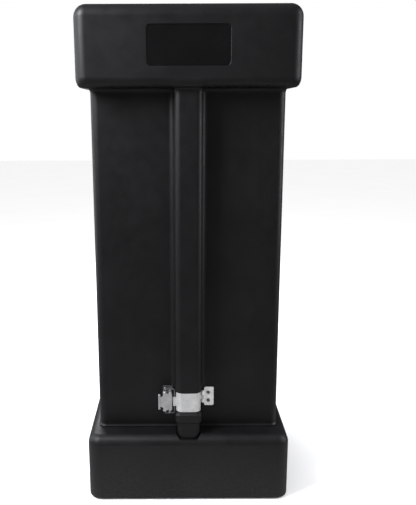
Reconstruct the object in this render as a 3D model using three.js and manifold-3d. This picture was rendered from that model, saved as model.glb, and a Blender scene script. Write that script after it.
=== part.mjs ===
// A free-standing presentation lectern in moulded plastic. Millimetres, +Z up.
// The audience side faces -Y and the speaker stands on the +Y side.
// The origin is the middle of the base footprint, on the floor.
import * as THREE from 'three';
import { mergeVertices } from 'three/addons/utils/BufferGeometryUtils.js';
import Module from 'manifold-3d';

const wasm = await Module();
wasm.setup();

// ---- driving dimensions ----
const gap = 0.3; // between pieces that touch
const runGap = 0.5; // between pieces that move on each other
const arcSteps = 4; // straight pieces in a quarter circle

const totalHeight = 1180;
const footLift = 2; // the rubber feet hold the base this far off the floor
const baseWidth = 500;
const baseDepth = 450;
const baseTop = 170;
const baseCornerRadius = 28;
const baseTopFillet = 24;
const baseWall = 6;
const rearChamfer = 35; // lets the lectern tip back on to its wheels

const headWidth = 500;
const headDepth = 450;
const headBottom = 1004;
const headUpperRadius = 28;
const headLowerRadius = 22;
const headSideRadius = 21;
const headFlat = 95; // level band along the front of the top
const deskSlope = 15; // degrees, down towards the speaker

const columnWidth = 450;
const columnSetBack = 61; // column face behind the front of the base
const columnRearInset = 20;
const columnCornerRadius = 19;
const bodyWall = 6;

const ribWidth = 64;
const ribProud = 42;
const ribRadius = 15;
const ribBottom = 278;

const namePanelWidth = 183;
const namePanelHeight = 86;
const namePanelBottom = 1049;
const namePanelRadius = 9;
const namePanelThickness = 2;
const nameRecessDepth = 3.5;

const deskPanelThickness = 5;
const deskRecessDepth = 6;
const deskRecessMargin = 28; // recess edge to the side of the head
const deskFrontMargin = 12; // recess edge to the start of the slope
const deskBackMargin = 24; // recess edge to the back of the head
const bookStopDepth = 16;
const bookStopRise = 16;
const bookStopScrewX = 150;

const mastRadius = 14;
const mastWall = 2;
const mastBoreGap = 2; // radial, in the rib
const mastSetBack = 21; // mast axis behind the face of the rib
const mastSeat = 178;
const capRadius = 18;
const capThickness = 4;
const plugLength = 20;

const notchFloor = 160;
const notchRadius = 30;
const notchSetBack = 26; // centre of the notch behind the front of the base
const socketFootWidth = 56;
const socketFootRadius = 18;
const socketCollarWidth = 65;
const socketCollarRadius = 21;
const socketNeckWidth = 57.5;
const socketNeckRadius = 14;
const socketNeckFront = 1.5; // behind the face of the rib
const socketFootProud = 3; // in front of the face of the rib
const socketCollarProud = 7.5;
const collarBottom = 202;
const collarTop = 226;
const socketScrewX = 22;
const socketScrewZ = 214;
const clampSlit = 2;

const strapBottom = 228.5;
const strapHeight = 48.5;
const strapThickness = 1.5;

const hingePinX = 36.6;
const hingePinY = 5.5; // in front of the column face
const hingePinRadius = 1.6;
const knuckleRadius = 3.6;
const knuckleHeight = 9.5;
const hingePlateLeft = 40;
const hingePlateWidth = 24;
const hingePlateHeight = 49.5;
const hingePlateThickness = 2.5;
const hingeScrewPitch = 21.5;
const hingeScrewX = 50.4;

const latchMiddle = 252;
const latchBaseLeft = -63;
const latchBaseRight = -39.3;
const latchBaseHeight = 58;
const latchBaseThickness = 2;
const latchEarThickness = 2.4;
const latchEarLeft = -50;
const latchPinX = -44.8;
const latchPinY = 29.5; // in front of the column face
const latchPinRadius = 1.6;
const latchScrewX = -57;
const latchScrewPitch = 42;
const leverPlateThickness = 2.4;
const leverRight = -40.5;
const leverRidgeX = -58;
const leverRidgeWidth = 7;
const leverNeckHeight = 26;
const leverLipHeight = 40;
const leverLipX = -71.5;
const leverLipRadius = 2.6;
const bailRadius = 1.6;
const bailY = 28; // in front of the column face
const bailBarX = -34.2;
const bailHeight = 63.2;
const hookHeight = 42;
const hookGap = 1; // between the bail's bar and the hook
const hookLap = 0.4; // the hook's leg reaches this far past the middle of the bar
const bandEndAhead = 1.2; // the band's left end, in front of the bail

const shelfThickness = 16;
const shelfHeight = 560; // underside of the shelf
const railThickness = 8;
const railHeight = 20;
const railEndGap = 20; // rail to the face and the back of the column
const railScrewInset = 34; // from each end of a rail
const ceilingThickness = 5; // panel that closes the hollow of the head
const ceilingLedge = 12;
const ceilingScrewInset = 54; // from the face and the back of the column

const bodyBoltX = 150;
const bodyBoltFrontInset = 54; // from the face of the column
const bodyBoltBackInset = 85; // from its back
const bodyBoltRadius = 4;
const bodyBoltHead = 8;
const bodyBoltLength = 34;
const bodyBossRadius = 11;

const panThickness = 5;
const panBottom = 6;
const panScrewX = 225;
const panScrewYs = [-60, 40];
const panPostRadius = 9;

const rubberFootRadius = 19;
const rubberFootX = 195;
const rubberFootYs = [-175, 110];

const wheelRadius = 40;
const wheelWidth = 26;
const wheelX = 176;
const wheelClearance = 4;
const wheelSetIn = 41; // axle in front of the back of the base
const axleHeight = 43.5;
const axleRadius = 5;
const hubRadius = 27;
const pocketWall = 5;
const axleCapLength = 8;
const axleCapRadius = 9;

const screwRadius = 2.4;
const screwHeadRadius = 4;
const screwHeadHeight = 2.2;

// ---- values worked out from them ----
const quarterTurn = Math.PI / 2;
const tilt = THREE.MathUtils.degToRad(deskSlope);
const frontY = -baseDepth / 2;
const backY = baseDepth / 2;
const columnFront = frontY + columnSetBack;
const headBack = frontY + headDepth;
const columnBack = headBack - columnRearInset;
const columnBottom = baseTop + gap;
const columnHalf = columnWidth / 2;
const innerHalf = columnHalf - bodyWall;
const ribFront = columnFront - ribProud;
const mastY = ribFront + mastSetBack;
const slopeStart = frontY + headFlat;
const wheelY = backY - wheelSetIn;
const latchPin = [latchPinX, columnFront - latchPinY];
const hingePin = [hingePinX, columnFront - hingePinY];
const bailPlane = columnFront - bailY;
const hingeMiddle = strapBottom + strapHeight / 2;
const sides = [-1, 1];

// ---- colours ----
const finish = (color, roughness, metalness = 0) =>
  new THREE.MeshStandardMaterial({ color, roughness, metalness });
const blackShell = finish(0x1b1c1e, 0.5);
const smoothBlack = finish(0x0c0c0d, 0.35);
const zincPlate = finish(0xc4c4c2, 0.35, 1);
const darkSteel = finish(0x5c5d60, 0.45, 1);
const aluminium = finish(0xb4b6b8, 0.4, 1);
const rubber = finish(0x141414, 0.85);
const deskBoard = finish(0x232427, 0.6);

// ---- solids ----
const toSolid = (geometry) => {
  geometry.deleteAttribute('normal');
  geometry.deleteAttribute('uv');
  const merged = mergeVertices(geometry, 1e-4);
  return new wasm.Manifold(new wasm.Mesh({
    numProp: 3,
    vertProperties: new Float32Array(merged.attributes.position.array),
    triVerts: new Uint32Array(merged.index.array),
  }));
};

const toGeometry = (solid) => {
  const mesh = solid.getMesh();
  const geometry = new THREE.BufferGeometry();
  geometry.setAttribute('position', new THREE.BufferAttribute(mesh.vertProperties, 3));
  geometry.setIndex(new THREE.BufferAttribute(mesh.triVerts, 1));
  return geometry;
};

const join = (first, ...others) => others.reduce((sum, other) => sum.add(other), first);
const cut = (first, ...others) => others.reduce((rest, other) => rest.subtract(other), first);

const box = (x0, x1, y0, y1, z0, z1) => {
  const geometry = new THREE.BoxGeometry(x1 - x0, y1 - y0, z1 - z0);
  return toSolid(geometry.translate((x0 + x1) / 2, (y0 + y1) / 2, (z0 + z1) / 2));
};

// cylinder that starts at a point and runs along 'x', 'y' or 'z'
const rod = (along, x, y, z, length, radius, facets = 16) => {
  const geometry = new THREE.CylinderGeometry(radius, radius, length, facets);
  geometry.translate(0, length / 2, 0);
  if (along === 'z') geometry.rotateX(quarterTurn);
  if (along === 'x') geometry.rotateZ(-quarterTurn);
  return toSolid(geometry.translate(x, y, z));
};

// rectangle with one radius at its two corners on the low y side and one on the high y side
const roundedShape = (x0, x1, y0, y1, lowRadius, highRadius = lowRadius) => {
  const shape = new THREE.Shape();
  shape.absarc(x1 - lowRadius, y0 + lowRadius, lowRadius, -quarterTurn, 0);
  shape.absarc(x1 - highRadius, y1 - highRadius, highRadius, 0, quarterTurn);
  shape.absarc(x0 + highRadius, y1 - highRadius, highRadius, quarterTurn, 2 * quarterTurn);
  shape.absarc(x0 + lowRadius, y0 + lowRadius, lowRadius, 2 * quarterTurn, 3 * quarterTurn);
  shape.closePath();
  return shape;
};

const extruded = (shape, length, edge, edgeSteps) =>
  new THREE.ExtrudeGeometry(shape, {
    depth: length - 2 * edge,
    curveSegments: arcSteps,
    bevelEnabled: edge > 0,
    bevelThickness: edge,
    bevelSize: edge,
    bevelOffset: -edge,
    bevelSegments: edgeSteps,
  }).translate(0, 0, edge);

// shape drawn in (x, y), from one height to another
const prism = (shape, z0, z1, edge = 0, edgeSteps = 1) =>
  toSolid(extruded(shape, z1 - z0, edge, edgeSteps).translate(0, 0, z0));

// shape drawn in (y, z), from one x to another
const bar = (shape, x0, x1, edge = 0) => {
  const geometry = extruded(shape, x1 - x0, edge, arcSteps);
  geometry.rotateX(quarterTurn);
  geometry.rotateZ(quarterTurn);
  return toSolid(geometry.translate(x0, 0, 0));
};

// shape drawn in (x, z), from one y to another
const slab = (shape, y0, y1) => {
  const geometry = extruded(shape, y1 - y0, 0, 1);
  return toSolid(geometry.rotateX(quarterTurn).translate(0, y1, 0));
};

const polygon = (points) => new THREE.Shape(points.map(([x, y]) => new THREE.Vector2(x, y)));

const lectern = new THREE.Group();
lectern.name = 'lectern';
const place = (name, solid, material) => {
  const mesh = new THREE.Mesh(toGeometry(solid), material);
  mesh.name = name;
  lectern.add(mesh);
};

// screw whose head faces the audience: the head's underside is at y
const faceScrew = (x, y, z, length) => join(
  rod('y', x, y - screwHeadHeight, z, screwHeadHeight, screwHeadRadius),
  rod('y', x, y - 0.5, z, length + 0.5, screwRadius, 12));

// ---- reading slope ----
// distance down the slope from its front edge, and height above it, to (y, z)
const onSlope = (along, height) => [
  slopeStart + along * Math.cos(tilt) + height * Math.sin(tilt),
  totalHeight - along * Math.sin(tilt) + height * Math.cos(tilt),
];
const slopeShape = (a0, a1, h0, h1) =>
  polygon([onSlope(a0, h0), onSlope(a1, h0), onSlope(a1, h1), onSlope(a0, h1)]);
const slopeRod = (x, along, height, length, radius) => {
  const [y, z] = onSlope(along, height);
  return rod('z', 0, 0, 0, length, radius, 12).rotate([-deskSlope, 0, 0]).translate([x, y, z]);
};
const recessStart = deskFrontMargin / Math.cos(tilt);
const recessEnd = (headBack - deskBackMargin - slopeStart) / Math.cos(tilt);
const recessHalf = headWidth / 2 - deskRecessMargin;
const bookStopStart = recessEnd - bookStopDepth;

// ---- body moulding: head, column and rib in one ----
const headShape = (inset) => {
  const upper = headUpperRadius - inset;
  const lower = headLowerRadius - inset;
  const y0 = frontY + inset;
  const y1 = headBack - inset;
  const z0 = headBottom + inset;
  const top = totalHeight - inset;
  const backCentre = y1 - upper;
  const backDrop = (backCentre - slopeStart) * Math.tan(tilt);
  const backZ = totalHeight - backDrop - (inset + upper) / Math.cos(tilt);
  const ridgeShift = inset * Math.tan(tilt / 2);
  const shape = new THREE.Shape();
  shape.absarc(y1 - lower, z0 + lower, lower, -quarterTurn, 0);
  shape.absarc(backCentre, backZ, upper, 0, quarterTurn - tilt);
  shape.lineTo(slopeStart - ridgeShift, top);
  shape.absarc(y0 + upper, top - upper, upper, quarterTurn, 2 * quarterTurn);
  shape.absarc(y0 + lower, z0 + lower, lower, 2 * quarterTurn, 3 * quarterTurn);
  shape.closePath();
  return shape;
};

const bodyBolts = sides.flatMap((side) =>
  [columnFront + bodyBoltFrontInset, columnBack - bodyBoltBackInset].map((y) =>
    [side * bodyBoltX, y]));
const railFront = columnFront + railEndGap;
const railBack = columnBack - railEndGap;
const railScrewZ = shelfHeight - gap - railHeight / 2;
const railScrews = sides.flatMap((side) =>
  [railFront + railScrewInset, railBack - railScrewInset].map((y) => [side, y]));
const ceilingScrewX = innerHalf - ceilingLedge / 2;
const ceilingScrews = sides.flatMap((side) =>
  [columnFront + ceilingScrewInset, columnBack - ceilingScrewInset].map((y) =>
    [side * ceilingScrewX, y]));
const hingeScrewZs = sides.map((side) => hingeMiddle + side * hingeScrewPitch / 2);
const latchScrewZs = sides.map((side) => latchMiddle + side * latchScrewPitch / 2);

const fromSide = (side, near, far) => [Math.min(side * near, side * far),
  Math.max(side * near, side * far)];

const buildBody = () => {
  const headHalf = headWidth / 2;
  const ribHalf = ribWidth / 2;
  const blendTop = headBottom + headLowerRadius;
  const head = bar(headShape(0), -headHalf, headHalf, headSideRadius);
  const headHollow = bar(
    headShape(bodyWall), bodyWall - headHalf, headHalf - bodyWall, headSideRadius - bodyWall);
  const column = prism(
    roundedShape(-columnHalf, columnHalf, columnFront, columnBack, columnCornerRadius, 4),
    columnBottom, blendTop);
  const throatHalf = innerHalf - ceilingLedge;
  const hollowRadius = columnCornerRadius - bodyWall;
  const columnHollow = prism(
    roundedShape(-innerHalf, innerHalf, columnFront + bodyWall, columnBack + 1, hollowRadius, 1),
    columnBottom + bodyWall, headBottom);
  const throat = prism(
    roundedShape(-throatHalf, throatHalf, columnFront + bodyWall + ceilingLedge,
      columnBack - bodyWall - ceilingLedge, 1),
    headBottom - 1, blendTop);
  const rib = prism(
    roundedShape(-ribHalf, ribHalf, ribFront, columnFront + 2, ribRadius, 1),
    ribBottom, blendTop);
  const mastSleeve = rod('z', 0, mastY, headBottom + 1, totalHeight - headBottom - 4,
    mastRadius + mastBoreGap + bodyWall, 24);
  const mastBore = rod('z', 0, mastY, ribBottom - 5, totalHeight - ribBottom + 10,
    mastRadius + mastBoreGap, 24);
  const capSeat = rod('z', 0, mastY, totalHeight - capThickness - 1, 10, capRadius + gap, 24);
  const nameHalf = namePanelWidth / 2;
  const nameTop = namePanelBottom + namePanelHeight;
  const nameRecess = slab(
    roundedShape(-nameHalf, nameHalf, namePanelBottom, nameTop, namePanelRadius),
    frontY - 10, frontY + nameRecessDepth);
  const nameBacking = box(-nameHalf - bodyWall, nameHalf + bodyWall, frontY + bodyWall - 1,
    frontY + nameRecessDepth + bodyWall, namePanelBottom - bodyWall, nameTop + bodyWall);
  const deskRecess = bar(
    slopeShape(recessStart, recessEnd, -deskRecessDepth, 30), -recessHalf, recessHalf);
  const deskBacking = bar(
    slopeShape(recessStart - bodyWall, recessEnd + bodyWall, -deskRecessDepth - bodyWall, -2),
    -recessHalf - bodyWall, recessHalf + bodyWall);
  const railHoles = railScrews.map(([side, y]) => rod('x',
    fromSide(side, innerHalf - 2, columnHalf - 1.5)[0], y, railScrewZ, bodyWall + 0.5,
    screwRadius + gap, 12));
  const ceilingHoles = ceilingScrews.map(([x, y]) =>
    rod('z', x, y, headBottom - 2, bodyWall + 4, screwRadius + gap, 12));
  const boltHoles = bodyBolts.map(([x, y]) =>
    rod('z', x, y, columnBottom - 2, bodyWall + 4, bodyBoltRadius + gap));
  const faceHoles = [
    ...hingeScrewZs.map((z) => [hingeScrewX, z]),
    ...latchScrewZs.map((z) => [latchScrewX, z]),
    ...sides.map((side) => [side * socketScrewX, socketScrewZ]),
  ].map(([x, z]) => rod('y', x, columnFront - 2, z, bodyWall + 4, screwRadius + gap, 12));
  const stopHoles = sides.map((side) => slopeRod(side * bookStopScrewX,
    bookStopStart + bookStopDepth / 2, -deskRecessDepth - bodyWall - 3, bodyWall + 6,
    screwRadius + gap));
  const shell = join(cut(join(head, column, rib), headHollow, columnHollow, throat),
    nameBacking, deskBacking, mastSleeve);
  return cut(shell, mastBore, capSeat, nameRecess, deskRecess, ...railHoles,
    ...ceilingHoles, ...boltHoles, ...faceHoles, ...stopHoles);
};
place('body_shell', buildBody(), blackShell);

place('nameplate_panel', slab(
  roundedShape(gap - namePanelWidth / 2, namePanelWidth / 2 - gap, namePanelBottom + gap,
    namePanelBottom + namePanelHeight - gap, namePanelRadius - gap),
  frontY + nameRecessDepth - gap - namePanelThickness, frontY + nameRecessDepth - gap),
smoothBlack);

// ---- reading surface ----
const deskSeat = gap - deskRecessDepth;
place('reading_panel', bar(
  slopeShape(recessStart + gap, bookStopStart - gap, deskSeat, deskSeat + deskPanelThickness),
  gap - recessHalf, recessHalf - gap), deskBoard);

const stopScrewHead = bookStopRise - 2;
const stopScrewSeat = stopScrewHead - screwHeadHeight;
const stopMiddle = bookStopStart + bookStopDepth / 2;
const buildBookStop = () => {
  const strip = bar(slopeShape(bookStopStart, recessEnd - gap, deskSeat, bookStopRise),
    gap - recessHalf, recessHalf - gap);
  const holes = sides.flatMap((side) => [
    slopeRod(side * bookStopScrewX, stopMiddle, -deskRecessDepth, 30, screwRadius + gap),
    slopeRod(side * bookStopScrewX, stopMiddle, stopScrewSeat - gap, 30, screwHeadRadius + gap),
  ]);
  return cut(strip, ...holes);
};
place('book_stop', buildBookStop(), smoothBlack);
sides.forEach((side, i) => place(`book_stop_screw_${i + 1}`, join(
  slopeRod(side * bookStopScrewX, stopMiddle, stopScrewSeat, screwHeadHeight, screwHeadRadius),
  slopeRod(side * bookStopScrewX, stopMiddle, -deskRecessDepth - bodyWall - 1,
    stopScrewSeat + deskRecessDepth + bodyWall + 2, screwRadius)), darkSteel));

// ---- shelf on two rails ----
place('shelf', prism(
  roundedShape(2 - innerHalf, innerHalf - 2, columnFront + bodyWall + 1, columnBack - 10, 12, 4),
  shelfHeight, shelfHeight + shelfThickness), deskBoard);
const railInner = innerHalf - gap - railThickness;
const railSideName = (side) => (side < 0 ? 'left' : 'right');
sides.forEach((side) => {
  const rail = box(...fromSide(side, railInner, innerHalf - gap), railFront, railBack,
    shelfHeight - gap - railHeight, shelfHeight - gap);
  const holes = railScrews.map(([, y]) => rod('x', fromSide(side, railInner - 2, innerHalf + 2)[0],
    y, railScrewZ, railThickness + gap + 4, screwRadius + gap, 12));
  place(`shelf_rail_${railSideName(side)}`, cut(rail, ...holes), smoothBlack);
});
railScrews.forEach(([side, y], i) => {
  const head = fromSide(side, railInner - gap - screwHeadHeight, railInner - gap)[0];
  const shank = fromSide(side, railInner - gap - 0.5, columnHalf - 2)[0];
  place(`rail_screw_${i + 1}`, join(
    rod('x', head, y, railScrewZ, screwHeadHeight, screwHeadRadius),
    rod('x', shank, y, railScrewZ, columnHalf - 2 - railInner + gap + 0.5, screwRadius, 12)),
  darkSteel);
});

// ---- ceiling panel, which closes the hollow of the head ----
const ceilingTop = headBottom - gap;
const buildCeiling = () => {
  const plate = prism(
    roundedShape(2 - innerHalf, innerHalf - 2, columnFront + bodyWall + 1, columnBack - 2, 12, 1),
    ceilingTop - ceilingThickness, ceilingTop);
  return cut(plate, ...ceilingScrews.map(([x, y]) => rod('z', x, y,
    ceilingTop - ceilingThickness - 2, ceilingThickness + 4, screwRadius + gap, 12)));
};
place('ceiling_panel', buildCeiling(), smoothBlack);
const ceilingUnder = ceilingTop - ceilingThickness - gap;
ceilingScrews.forEach(([x, y], i) => place(`ceiling_screw_${i + 1}`, join(
  rod('z', x, y, ceilingUnder - screwHeadHeight, screwHeadHeight, screwHeadRadius),
  rod('z', x, y, ceilingUnder - 0.5, ceilingThickness + bodyWall, screwRadius, 12)), darkSteel));

// ---- base moulding ----
const wheelPocket = (side, grow) => box(
  ...fromSide(side, wheelX - wheelWidth / 2 - wheelClearance - grow,
    wheelX + wheelWidth / 2 + wheelClearance + grow),
  wheelY - wheelRadius - wheelClearance - grow, backY + 5,
  footLift - 5, axleHeight + wheelRadius + wheelClearance + grow);
const rearWedge = (grow) => bar(polygon([
  [backY - rearChamfer - grow - 20, footLift - 20],
  [backY + 40, footLift - 20],
  [backY + 40, footLift + rearChamfer + grow + 40],
]), -baseWidth, baseWidth);
const panPosts = sides.flatMap((side) => panScrewYs.map((y) => [side * panScrewX, y]));

const baseBlock = (inset, top, edge) => {
  const half = baseWidth / 2 - inset;
  const shape = roundedShape(-half, half, frontY + inset, backY - inset,
    baseCornerRadius - inset);
  return prism(shape, footLift - 2 * baseTopFillet, top, edge, arcSteps);
};

const buildBase = () => {
  const below = box(-baseWidth, baseWidth, -baseDepth, baseDepth, footLift - 100, footLift);
  const outer = cut(baseBlock(0, baseTop, baseTopFillet), below, rearWedge(0));
  const hollow = cut(baseBlock(baseWall, baseTop - baseWall, baseTopFillet - baseWall),
    rearWedge(baseWall * Math.SQRT2));
  const notch = join(
    rod('z', 0, frontY + notchSetBack, notchFloor, 40, notchRadius, 32),
    box(-notchRadius, notchRadius, frontY + notchSetBack, columnFront + gap, notchFloor, baseTop + 9));
  const notchBacking = outer.intersect(box(-notchRadius - baseWall, notchRadius + baseWall,
    frontY, columnFront + baseWall, notchFloor - baseWall, baseTop));
  const pockets = sides.map((side) => outer.intersect(wheelPocket(side, pocketWall)));
  const boltBosses = bodyBolts.map(([x, y]) => rod('z', x, y,
    columnBottom + bodyWall - bodyBoltLength - baseWall, bodyBoltLength - baseWall,
    bodyBossRadius));
  const boltHoles = bodyBolts.map(([x, y]) => rod('z', x, y,
    columnBottom + bodyWall - bodyBoltLength - 1, bodyBoltLength + 5, bodyBoltRadius + gap));
  const posts = panPosts.map(([x, y]) => rod('z', x, y, panBottom + panThickness + gap,
    baseTop - panBottom - panThickness - baseWall, panPostRadius));
  const postHoles = panPosts.map(([x, y]) =>
    rod('z', x, y, panBottom, 30, screwRadius + gap, 12));
  const axleHole = rod('x', -wheelX - 40, wheelY, axleHeight, 2 * wheelX + 80,
    axleRadius + gap);
  const shell = join(cut(outer, hollow), notchBacking, ...pockets, ...boltBosses,
    ...posts.map((post) => post.intersect(outer)));
  return cut(shell, notch, ...sides.map((side) => wheelPocket(side, 0)), ...boltHoles,
    ...postHoles, axleHole);
};
place('base_shell', buildBase(), blackShell);

bodyBolts.forEach(([x, y], i) => place(`body_bolt_${i + 1}`, join(
  rod('z', x, y, columnBottom + bodyWall + gap, 5, bodyBoltHead, 6),
  rod('z', x, y, columnBottom + bodyWall - bodyBoltLength, bodyBoltLength + 1, bodyBoltRadius)),
darkSteel));

const buildPan = () => {
  const inset = baseWall + gap;
  const half = baseWidth / 2 - inset;
  const panBack = backY - rearChamfer - baseWall * Math.SQRT2 + footLift;
  const plate = prism(
    roundedShape(-half, half, frontY + inset, panBack, baseCornerRadius - inset, 2),
    panBottom, panBottom + panThickness);
  const holes = panPosts.map(([x, y]) =>
    rod('z', x, y, panBottom - 2, panThickness + 4, screwRadius + gap, 12));
  return cut(plate, ...sides.map((side) => wheelPocket(side, pocketWall + gap)), ...holes);
};
place('base_pan', buildPan(), smoothBlack);
panPosts.forEach(([x, y], i) => place(`pan_screw_${i + 1}`, join(
  rod('z', x, y, panBottom - gap - screwHeadHeight, screwHeadHeight, screwHeadRadius),
  rod('z', x, y, panBottom - gap - 0.5, panThickness + 16, screwRadius, 12)), darkSteel));

sides.flatMap((side) => rubberFootYs.map((y) => [side * rubberFootX, y])).forEach(
  ([x, y], i) => place(`rubber_foot_${i + 1}`,
    rod('z', x, y, 0, panBottom - gap, rubberFootRadius, 24), rubber));

// ---- transport wheels ----
const axleEnd = wheelX + wheelWidth / 2 + wheelClearance + pocketWall + gap;
place('wheel_axle', rod('x', -axleEnd - axleCapLength / 2, wheelY, axleHeight,
  2 * axleEnd + axleCapLength, axleRadius), darkSteel);
const ring = (x, width, outer, inner, facets) => cut(
  rod('x', x, wheelY, axleHeight, width, outer, facets),
  rod('x', x - 1, wheelY, axleHeight, width + 2, inner, facets));
['left', 'right'].forEach((label, i) => {
  const side = sides[i];
  const start = side * wheelX - wheelWidth / 2;
  place(`wheel_hub_${label}`, ring(start, wheelWidth, hubRadius, axleRadius + runGap, 24),
    smoothBlack);
  place(`tyre_${label}`, ring(start, wheelWidth, wheelRadius, hubRadius + gap, 32), rubber);
  const [capStart] = fromSide(side, axleEnd, axleEnd + axleCapLength);
  place(`axle_cap_${label}`, cut(
    rod('x', capStart, wheelY, axleHeight, axleCapLength, axleCapRadius),
    rod('x', fromSide(side, axleEnd - 1, axleEnd + axleCapLength / 2 + gap)[0], wheelY,
      axleHeight, axleCapLength / 2 + gap + 1, axleRadius + gap)), darkSteel);
});

// ---- mast socket in the notch of the base ----
const neckFront = ribFront + socketNeckFront;
const neckBack = columnFront - 2.5;
const socketBack = columnFront - gap;
const neckTop = ribBottom - gap;
const buildSocket = () => {
  const foot = prism(
    roundedShape(-socketFootWidth / 2, socketFootWidth / 2, ribFront - socketFootProud,
      socketBack, socketFootRadius, 4),
    notchFloor + gap, collarBottom + 4, 3, 2);
  const collar = prism(
    roundedShape(-socketCollarWidth / 2, socketCollarWidth / 2, ribFront - socketCollarProud,
      socketBack, socketCollarRadius, 4),
    collarBottom, collarTop, 2);
  const neck = prism(
    roundedShape(-socketNeckWidth / 2, socketNeckWidth / 2, neckFront, neckBack,
      socketNeckRadius, 3),
    collarTop - 5, neckTop);
  const bore = rod('z', 0, mastY, mastSeat, neckTop, mastRadius + gap, 24);
  const slit = box(-socketNeckWidth, 0, mastY - clampSlit / 2, mastY + clampSlit / 2,
    collarTop + 6, neckTop + 5);
  const holes = sides.map((side) => rod('y', side * socketScrewX, socketBack - 20, socketScrewZ,
    25, screwRadius + gap, 12));
  return cut(join(foot, collar, neck), bore, slit, ...holes);
};
place('mast_socket', buildSocket(), blackShell);
sides.forEach((side, i) => {
  const inside = columnFront + bodyWall + gap;
  place(`socket_screw_${i + 1}`, join(
    rod('y', side * socketScrewX, inside, socketScrewZ, screwHeadHeight, screwHeadRadius),
    rod('y', side * socketScrewX, inside - 24, socketScrewZ, 24.5, screwRadius, 12)), darkSteel);
});

// ---- mast in the rib ----
const mastBottom = mastSeat + gap;
const mastTop = totalHeight - capThickness - 1;
place('mast_tube', cut(
  rod('z', 0, mastY, mastBottom + 3 + gap, mastTop - mastBottom - 3 - gap, mastRadius, 24),
  rod('z', 0, mastY, mastBottom - 5, totalHeight, mastRadius - mastWall, 24)), aluminium);
const plugRadius = mastRadius - mastWall - gap;
place('mast_cap', join(
  rod('z', 0, mastY, mastTop + gap, capThickness, capRadius, 24),
  rod('z', 0, mastY, mastTop - plugLength, plugLength + 1, plugRadius, 24)), smoothBlack);
place('mast_plug', join(
  rod('z', 0, mastY, mastBottom, 3, mastRadius, 24),
  rod('z', 0, mastY, mastBottom + 1, plugLength, plugRadius, 24)), rubber);

// ---- clamp strap ----
const strapTop = strapBottom + strapHeight;
const bandInside = socketNeckWidth / 2 + gap;
const bandOutside = bandInside + strapThickness;
const webY = columnFront - hingePinY - knuckleRadius; // front of the tongue to the hinge
const legInside = bailBarX - bailRadius - hookGap;
const hookFront = bailPlane - bailRadius - hookGap - strapThickness;
const buildStrap = () => {
  const inner = neckFront - gap;
  const band = prism(
    roundedShape(-bandOutside, bandOutside, inner - strapThickness, columnFront,
      socketNeckRadius + gap + strapThickness, 1),
    strapBottom, strapTop);
  const hollow = prism(
    roundedShape(-bandInside, bandInside, inner, columnFront + 10, socketNeckRadius + gap, 1),
    strapBottom - 1, strapTop + 1);
  const rightEnd = box(0, 50, webY + strapThickness, columnFront + 5, strapBottom - 1, strapTop + 1);
  const leftEnd = box(-50, 0, bailPlane - bandEndAhead, columnFront + 5, strapBottom - 1,
    strapTop + 1);
  const hookLow = latchMiddle - hookHeight / 2;
  const hookHigh = latchMiddle + hookHeight / 2;
  const hook = join(
    box(legInside - strapThickness, -bandInside, hookFront, hookFront + strapThickness,
      hookLow, hookHigh),
    box(legInside - strapThickness, legInside, hookFront, bailPlane + hookLap, hookLow,
      hookHigh));
  const tongue = box(bandInside, hingePinX, webY, webY + strapThickness,
    hingeMiddle - knuckleHeight / 2, hingeMiddle + knuckleHeight / 2);
  const knuckle = rod('z', hingePin[0], hingePin[1], hingeMiddle - knuckleHeight / 2,
    knuckleHeight, knuckleRadius, 20);
  const pinHole = rod('z', hingePin[0], hingePin[1], hingeMiddle - knuckleHeight, 2 * knuckleHeight,
    hingePinRadius + gap);
  return cut(join(cut(band, hollow, rightEnd, leftEnd), hook, tongue, knuckle), pinHole);
};
place('clamp_strap', buildStrap(), zincPlate);

// ---- hinge of the strap ----
const plateLow = hingeMiddle - hingePlateHeight / 2;
const knuckleStep = knuckleHeight + runGap;
const buildHingePlate = () => {
  const plate = slab(
    roundedShape(hingePlateLeft, hingePlateLeft + hingePlateWidth, plateLow,
      plateLow + hingePlateHeight, 4),
    socketBack - hingePlateThickness, socketBack);
  const leaves = sides.flatMap((side) => {
    const low = hingeMiddle + side * knuckleStep - knuckleHeight / 2;
    return [
      box(hingePin[0], hingePlateLeft + 5, socketBack - hingePlateThickness, socketBack,
        low, low + knuckleHeight),
      rod('z', hingePin[0], hingePin[1], low, knuckleHeight, knuckleRadius, 20),
    ];
  });
  const pinHole = rod('z', hingePin[0], hingePin[1], plateLow, hingePlateHeight,
    hingePinRadius + gap);
  const holes = hingeScrewZs.map((z) =>
    rod('y', hingeScrewX, socketBack - 10, z, 20, screwRadius + gap, 12));
  return cut(join(plate, ...leaves), pinHole, ...holes);
};
place('hinge_plate', buildHingePlate(), zincPlate);
const pinEnds = knuckleStep + knuckleHeight / 2 + gap;
place('hinge_pin', join(
  rod('z', hingePin[0], hingePin[1], hingeMiddle - pinEnds, 2 * pinEnds, hingePinRadius),
  rod('z', hingePin[0], hingePin[1], hingeMiddle + pinEnds, 1.5, knuckleRadius - 1)), zincPlate);
hingeScrewZs.forEach((z, i) => place(`hinge_screw_${i + 1}`,
  faceScrew(hingeScrewX, socketBack - hingePlateThickness - gap, z, 12), zincPlate));

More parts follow.
